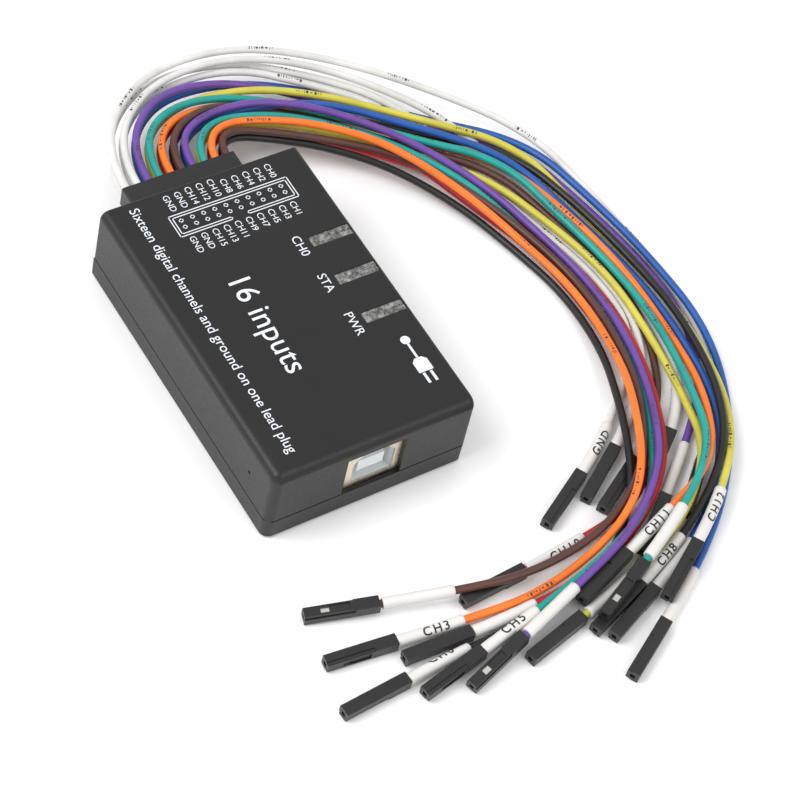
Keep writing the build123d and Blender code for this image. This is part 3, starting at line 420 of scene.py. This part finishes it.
def slot_materials():
    """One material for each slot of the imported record."""
    materials = {
        "case_plastic": moulded_plastic(
            "case_plastic", (0.01, 0.0094, 0.0092), 0.42, 2600, 0.02 * MM, ior=1.45
        ),
        "board_green": moulded_plastic("board_green", (0.01, 0.11, 0.05), 0.3, 900, 0.01 * MM),
        "screw_steel": sheet_metal("screw_steel", (0.3, 0.3, 0.31), 0.38, 2500),
        "usb_metal": sheet_metal("usb_metal", (0.8, 0.7, 0.57), 0.42, 3000, stretch=(0.15, 1, 1)),
        "usb_plastic": moulded_plastic("usb_plastic", (0.78, 0.82, 0.84), 0.35, 1200, 0.01 * MM, 0.05),
        "contact_gold": sheet_metal("contact_gold", (0.86, 0.62, 0.25), 0.25, 3000),
        "header_plastic": moulded_plastic("header_plastic", (0.02, 0.02, 0.02), 0.45, 2600, 0.01 * MM),
        "clear_plastic": clear_moulding("clear_plastic"),
        "led_body": moulded_plastic("led_body", (0.8, 0.78, 0.6), 0.3, 1500, 0.01 * MM),
        "chip_plastic": moulded_plastic("chip_plastic", (0.02, 0.02, 0.021), 0.55, 3000, 0.015 * MM),
        "can_metal": sheet_metal("can_metal", (0.75, 0.75, 0.76), 0.3, 1500),
        "capacitor_ceramic": moulded_plastic("capacitor_ceramic", (0.42, 0.3, 0.18), 0.5, 1500, 0.01 * MM),
        "resistor_body": moulded_plastic("resistor_body", (0.02, 0.02, 0.024), 0.4, 1500, 0.01 * MM),
        "housing_plastic": moulded_plastic(
            "housing_plastic", (0.014, 0.0135, 0.0135), 0.38, 1900, 0.016 * MM, 0.2
        ),
        "terminal_metal": sheet_metal("terminal_metal", (0.8, 0.77, 0.72), 0.25, 2500, stretch=(1, 0.2, 1)),
        "sleeve_plastic": moulded_plastic("sleeve_plastic", (0.71, 0.69, 0.67), 0.42, 700, 0.02 * MM, 0.04),
    }
    for colour_name, colour in WIRE_COLOURS.items():
        materials["wire_" + colour_name] = wire_insulation("wire_" + colour_name, colour)
    return materials


def round_edges(node, radius):
    """Soften the sharp edges of a moulded or folded piece."""
    modifier = node.modifiers.new("soft_edges", "BEVEL")
    modifier.width = radius
    modifier.segments = 2
    modifier.limit_method = "ANGLE"
    modifier.angle_limit = EDGE_ANGLE


def dress_cad_nodes(materials):
    """Give every CAD node its slot's material, and round the sharp edges of the moulded pieces."""
    for entry in frame["record"]["subparts"]:
        node = frame["nodes"][entry["node"]]
        material = materials[entry["material_slot"]]
        if not node.material_slots:
            node.data.materials.append(material)
        for material_slot in node.material_slots:
            material_slot.material = material
        if entry["node"] in EDGE_RADII:
            round_edges(node, EDGE_RADII[entry["node"]])
        elif entry["material_slot"] == "housing_plastic":
            round_edges(node, HOUSING_EDGE_RADIUS)


# Leads and what is on them

def link(obj):
    """Put a new object in the scene."""
    bpy.context.scene.collection.objects.link(obj)
    return obj


def add_lead(name, points, material):
    """One lead, as a smooth curve of round section."""
    curve = bpy.data.curves.new("wire_" + name, "CURVE")
    curve.dimensions = "3D"
    curve.resolution_u = 14
    spline = curve.splines.new("NURBS")
    spline.points.add(len(points) - 1)
    for place, point in zip(spline.points, points):
        place.co = (*point, 1)
    spline.order_u = 3
    spline.use_endpoint_u = True
    curve.materials.append(material)
    return link(bpy.data.objects.new("wire_" + name, curve))


def spline_points(lead):
    """The points along a lead's own smooth line, read before it is given its thickness."""
    mesh = bpy.data.meshes.new_from_object(lead)
    points = [vertex.co.copy() for vertex in mesh.vertices]
    bpy.data.meshes.remove(mesh)
    return points


class Centreline:
    """A lead's line, measured back from the probe housing."""

    def __init__(self, points):
        self.points = list(reversed(points))
        self.marks = [0.0]
        for before, after in zip(self.points, self.points[1:]):
            self.marks.append(self.marks[-1] + (after - before).length)
        self.length = self.marks[-1]

    def at(self, distance):
        """The point at a distance from the housing's end."""
        distance = min(max(distance, 0.0), self.length - 1e-6)
        index = bisect.bisect_right(self.marks, distance) - 1
        share = (distance - self.marks[index]) / (self.marks[index + 1] - self.marks[index])
        return self.points[index].lerp(self.points[index + 1], share)

    def surface(self, distance, angle, radius):
        """A point on a tube round the line; angle 0 is its top, and positive angles turn to its left."""
        centre = self.at(distance)
        behind = self.at(distance - DIRECTION_REACH)
        ahead = self.at(distance + DIRECTION_REACH)
        along = (ahead - behind).normalized()
        left = Vector((0, 0, 1)).cross(along).normalized()
        top = along.cross(left)
        return centre + (top * math.cos(angle) + left * math.sin(angle)) * radius


def mesh_object(name, vertices, faces, material, smooth=True):
    """A mesh object from its vertices and faces."""
    mesh = bpy.data.meshes.new(name)
    mesh.from_pydata([tuple(vertex) for vertex in vertices], [], faces)
    mesh.materials.append(material)
    for polygon in mesh.polygons:
        polygon.use_smooth = smooth
    mesh.update()
    return link(bpy.data.objects.new(name, mesh))


def add_sleeve(name, line, start, material):
    """The printed sleeve: a tube with rounded lips, a little uneven where it shrank on."""
    sides = SLEEVE_SIDES
    wobble = random.Random(name)
    lip_radius = SLEEVE_RADIUS - SLEEVE_LIP
    rings = [(start, LEAD_RADIUS), (start, lip_radius), (start + SLEEVE_LIP, SLEEVE_RADIUS)]
    for step in range(1, SLEEVE_STEPS):
        swell = wobble.uniform(*SLEEVE_SWELL) * MM
        rings.append((start + SLEEVE_LENGTH * step / SLEEVE_STEPS, SLEEVE_RADIUS + swell))
    end = start + SLEEVE_LENGTH
    rings += [(end - SLEEVE_LIP, SLEEVE_RADIUS), (end, lip_radius), (end, LEAD_RADIUS)]
    vertices = [
        line.surface(distance, 2 * math.pi * side / sides, radius)
        for distance, radius in rings
        for side in range(sides)
    ]
    faces = [
        (ring * sides + side, ring * sides + (side + 1) % sides,
         (ring + 1) * sides + (side + 1) % sides, (ring + 1) * sides + side)
        for ring in range(len(rings) - 1)
        for side in range(sides)
    ]
    return mesh_object("sleeve_" + name, vertices, faces, material)


def text_mesh(name, body, cap_height, align="LEFT", spacing=1.0, weight=0.0):
    """A word as a flat mesh in XY, with capitals of the given height; weight thickens its strokes."""
    text = bpy.data.curves.new(name, "FONT")
    text.body = body
    text.size = cap_height / CAP_SHARE
    text.align_x = align
    text.space_character = spacing
    text.offset = weight * text.size
    text.resolution_u = 4
    word = link(bpy.data.objects.new(name, text))
    mesh = bpy.data.meshes.new_from_object(word.evaluated_get(bpy.context.evaluated_depsgraph_get()))
    bpy.data.objects.remove(word)
    return mesh


def slice_across(mesh, step):
    """Cut a flat mesh at even steps in Y, so that it can bend round a sleeve."""
    cut = bmesh.new()
    cut.from_mesh(mesh)
    heights = [vertex.co.y for vertex in cut.verts]
    place = min(heights) + step
    while place < max(heights):
        geometry = cut.verts[:] + cut.edges[:] + cut.faces[:]
        bmesh.ops.bisect_plane(cut, geom=geometry, plane_co=(0, place, 0), plane_no=(0, 1, 0))
        place += step
    cut.to_mesh(mesh)
    cut.free()


def add_sleeve_label(name, line, start, turn, material):
    """The channel's name, wrapped onto the sleeve and reading back along the lead."""
    body = "GND" if name.startswith("gnd") else name.upper()
    mesh = text_mesh("label_" + name, body, SLEEVE_TEXT_HEIGHT, spacing=1.3, weight=0.018)
    slice_across(mesh, SLEEVE_TEXT_STEP)
    radius = SLEEVE_RADIUS + SLEEVE_TEXT_LIFT
    middle = SLEEVE_TEXT_HEIGHT / 2
    for vertex in mesh.vertices:
        distance = start + SLEEVE_TEXT_START + vertex.co.x
        angle = (vertex.co.y - middle) / SLEEVE_RADIUS + turn
        vertex.co = line.surface(distance, angle, radius)
    mesh.materials.append(material)
    mesh.update()
    return link(bpy.data.objects.new("label_" + name, mesh))


def add_wire_marks(name, line, material):
    """Small plain dashes printed along the wire in place of its lettering."""
    chance = random.Random("marks" + name)
    radius = LEAD_RADIUS + MARK_LIFT
    vertices = []
    faces = []
    distance = MARKS_START + chance.uniform(0, MARKS_START_SPREAD) * MM
    while distance < line.length - MARKS_END:
        turn = chance.uniform(-MARK_TURN, MARK_TURN)
        for _ in range(MARKS_IN_GROUP):
            half_height = chance.choice(MARK_HEIGHTS)
            width = chance.choice(MARK_WIDTHS) * MM
            middle = turn + chance.uniform(-MARK_JITTER, MARK_JITTER)
            first = len(vertices)
            for along in (0, width):
                for row in range(MARK_ROWS):
                    angle = middle - half_height + 2 * half_height * row / (MARK_ROWS - 1)
                    vertices.append(line.surface(distance + along, angle, radius))
            for corner in range(first, first + MARK_ROWS - 1):
                faces.append((corner, corner + 1, corner + MARK_ROWS + 1, corner + MARK_ROWS))
            distance += width + chance.choice(MARK_GAPS) * MM
        distance += chance.uniform(*GROUP_GAP) * MM
    return mesh_object("marks_" + name, vertices, faces, material)


def add_lead_with_pieces(name, points, materials, prints):
    """One lead, its sleeve, label and marks, gathered under the lead set with the CAD housing on it; the
    CAD lead and sleeves are hidden.
    """
    lead = add_lead(name, points, materials["wire_" + LEAD_COLOURS[name]])
    line = Centreline(spline_points(lead))
    lead.data.bevel_depth = LEAD_RADIUS
    lead.data.bevel_resolution = 5
    start = SLEEVE_START + SLEEVE_SLIPS.get(name, 0.0) * MM
    sleeve = add_sleeve(name, line, start, materials["sleeve_plastic"])
    label = add_sleeve_label(name, line, start, math.radians(SLEEVE_TEXT_TURNS[name]), prints["ink"])
    pieces = [sleeve, label]
    if LEAD_COLOURS[name] not in ("black", "blue"):
        pieces.append(add_wire_marks(name, line, prints["ink_faint"]))
    for piece in [lead] + pieces:
        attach(piece, "lead_set")
    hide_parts("lead_" + name)
    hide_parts("label_sleeves")


# Prints on the case's top

def lay_on_top(mesh, x, y):
    """Turn a flat mesh so that it reads along -Y, and lay it on the case's top."""
    turn = Matrix.Rotation(-math.pi / 2, 4, "Z")
    mesh.transform(Matrix.Translation((x, y, CASE_TOP_Z + PRINT_LIFT)) @ turn)


def add_print(name, body, x, y, cap_height, material, align="LEFT", span=None):
    """A word on the case: x is the foot of its letters, y where it starts or, aligned right, ends."""
    mesh = text_mesh(name, body, cap_height, align)
    if span:
        width = max(vertex.co.x for vertex in mesh.vertices)
        mesh.transform(Matrix.Scale(span / width, 4, (1, 0, 0)))
    lay_on_top(mesh, x, y)
    mesh.materials.append(material)
    word = link(bpy.data.objects.new(name, mesh))
    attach(word, "case")
    return word


class Artwork:
    """Flat shapes on the case's top, gathered into one mesh."""

    def __init__(self):
        self.vertices = []
        self.faces = []

    def polygon(self, corners):
        """A filled shape from its corners, in metres."""
        first = len(self.vertices)
        self.vertices += [(x, y, CASE_TOP_Z + PRINT_LIFT) for x, y in corners]
        self.faces.append(tuple(range(first, first + len(corners))))

    def stroke(self, start, end, width):
        """A straight line of a given width, run half a width past both ends."""
        start, end = Vector(start), Vector(end)
        along = (end - start).normalized() * width / 2
        across = Vector((-along.y, along.x))
        start, end = start - along, end + along
        self.polygon([start - across, end - across, end + across, start + across])

    def outline(self, corners, width):
        """A closed line through the corners."""
        for start, end in zip(corners, corners[1:] + corners[:1]):
            self.stroke(start, end, width)

    def square(self, centre, half, width):
        """A line round a square, which is given by its middle and half its side."""
        x, y = centre
        corners = [(x - half, y - half), (x + half, y - half), (x + half, y + half), (x - half, y + half)]
        self.outline(corners, width)

    def disc(self, centre, radius):
        """A filled circle."""
        angles = [2 * math.pi * step / DISC_SIDES for step in range(DISC_SIDES)]
        self.polygon([(centre[0] + radius * math.cos(a), centre[1] + radius * math.sin(a)) for a in angles])

    def finish(self, name, material):
        """The gathered shapes as one piece on the case."""
        piece = mesh_object(name, self.vertices, self.faces, material, smooth=False)
        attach(piece, "case")
        return piece


def add_header_diagram(material):
    """The header's outline with its key gap, a square for each pin, and the channel by each pin."""
    pitch = 2.5 * MM
    first_x = 13.9 * MM
    row_ys = (26.7 * MM, 25.0 * MM)
    line = 0.22 * MM
    low_x, high_x = -10.6 * MM, 16.0 * MM
    low_y, high_y = 23.0 * MM, 28.4 * MM
    gap_low, gap_high = 1.0 * MM, 4.6 * MM
    inset = 0.62 * MM
    artwork = Artwork()
    outer = [
        (gap_low, low_y), (low_x, low_y), (low_x, high_y),
        (high_x, high_y), (high_x, low_y), (gap_high, low_y),
    ]
    inner = [
        (gap_low, low_y + inset), (low_x + inset, low_y + inset), (low_x + inset, high_y - inset),
        (high_x - inset, high_y - inset), (high_x - inset, low_y + inset), (gap_high, low_y + inset),
    ]
    for corners in (outer, inner):
        for start, end in zip(corners, corners[1:]):
            artwork.stroke(start, end, line)
    artwork.stroke(outer[0], inner[0], line)
    artwork.stroke(outer[-1], inner[-1], line)
    half = 0.36 * MM
    pin_line = 0.2 * MM
    for column in range(10):
        x = first_x - pitch * column
        for y in row_ys:
            artwork.square((x, y), half, pin_line)
    artwork.finish("print_header_diagram", material)
    cap = 1.35 * MM
    for column in range(10):
        x = first_x - pitch * column - cap / 2
        even = "GND" if column > 7 else f"CH{2 * column}"
        odd = "GND" if column > 7 else f"CH{2 * column + 1}"
        add_print(f"print_even_{column}", even, x, 29.2 * MM, cap, material, align="RIGHT")
        add_print(f"print_odd_{column}", odd, x, 22.4 * MM, cap, material)


def add_plug_symbol(material):
    """A plain cable-and-plug symbol by the USB socket."""
    artwork = Artwork()
    middle_x = 16.9 * MM
    top_y = -16.6 * MM
    artwork.disc((middle_x, top_y), 1.0 * MM)
    artwork.stroke((middle_x, top_y - 1.3 * MM), (middle_x, top_y - 4.3 * MM), 0.5 * MM)
    body_top, body_low = top_y - 4.6 * MM, top_y - 8.0 * MM
    body_half = 1.6 * MM
    artwork.polygon([
        (middle_x - body_half, body_low), (middle_x + body_half, body_low),
        (middle_x + body_half, body_top - 0.8 * MM), (middle_x + body_half - 0.8 * MM, body_top),
        (middle_x - body_half + 0.8 * MM, body_top), (middle_x - body_half, body_top - 0.8 * MM),
    ])
    for side in (-0.8, 0.8):
        prong_x = middle_x + side * MM
        artwork.stroke((prong_x, body_low - 0.5 * MM), (prong_x, body_low - 2.4 * MM), 0.6 * MM)
    artwork.finish("print_plug_symbol", material)


def add_prints(material):
    """Everything printed on the case's top."""
    add_header_diagram(material)
    add_plug_symbol(material)
    add_print("print_ch0", "CH0", 9.0 * MM, 14.4 * MM, 1.9 * MM, material)
    add_print("print_sta", "STA", 9.0 * MM, 4.1 * MM, 1.9 * MM, material)
    add_print("print_pwr", "PWR", 9.0 * MM, -6.2 * MM, 1.9 * MM, material)
    add_print("print_title", "16 inputs", -7.8 * MM, 10.6 * MM, 4.8 * MM, material, span=25.1 * MM)
    sentence = "Sixteen digital channels and ground on one lead plug"
    add_print("print_sentence", sentence, -16.9 * MM, 33.0 * MM, 2.1 * MM, material, span=63.4 * MM)


# Surroundings

def add_floor():
    """A pale matte floor."""
    material, tree, shader = new_material("floor")
    cloud = noise(tree, 6, detail=2)
    tint = ramp(tree, cloud, (0.93, 0.93, 0.93), (0.96, 0.96, 0.96))
    tree.links.new(tint.outputs["Color"], shader.inputs["Base Color"])
    shader.inputs["Roughness"].default_value = 0.8
    half = FLOOR_HALF
    corners = [(-half, -half, 0), (half, -half, 0), (half, half, 0), (-half, half, 0)]
    floor = mesh_object("floor", corners, [(0, 1, 2, 3)], material, smooth=False)
    floor.location.z = -FLOOR_DROP


def add_area_light(name, place, power):
    """A square soft light aimed at the object."""
    light = bpy.data.lights.new(name, "AREA")
    light.energy = power
    light.size = LIGHT_SIZE
    lamp = link(bpy.data.objects.new(name, light))
    lamp.location = place
    lamp.rotation_euler = (Vector(LIGHT_TARGET) - Vector(place)).to_track_quat("-Z", "Y").to_euler()


def add_lights():
    """Plain soft studio light: a bright room, a key from the left and a fill from the front."""
    world = bpy.data.worlds.new("world")
    world.use_nodes = True
    background = world.node_tree.nodes["Background"]
    background.inputs["Color"].default_value = (1, 1, 1, 1)
    background.inputs["Strength"].default_value = ROOM_BRIGHTNESS
    bpy.context.scene.world = world
    add_area_light("key", (-0.6, 0.15, 0.8), 7.0)
    add_area_light("fill", (0.3, -0.7, 0.7), 2.0)


def set_view():
    """Plain display of the light, without a film-like curve."""
    bpy.context.scene.view_settings.view_transform = "Standard"


add_camera()
materials = slot_materials()
prints = {
    "white": ink("print_white", PRINT_COLOUR, 0.45),
    "ink": ink("label_ink", INK_COLOUR, 0.5),
    "ink_faint": ink("wire_ink", WORN_INK_COLOUR, 0.5),
}
for lead_name, lead_points in LEAD_ROUTES.items():
    add_lead_with_pieces(lead_name, lead_points, materials, prints)
dress_cad_nodes(materials)
add_prints(prints["white"])
add_floor()
add_lights()
set_view()
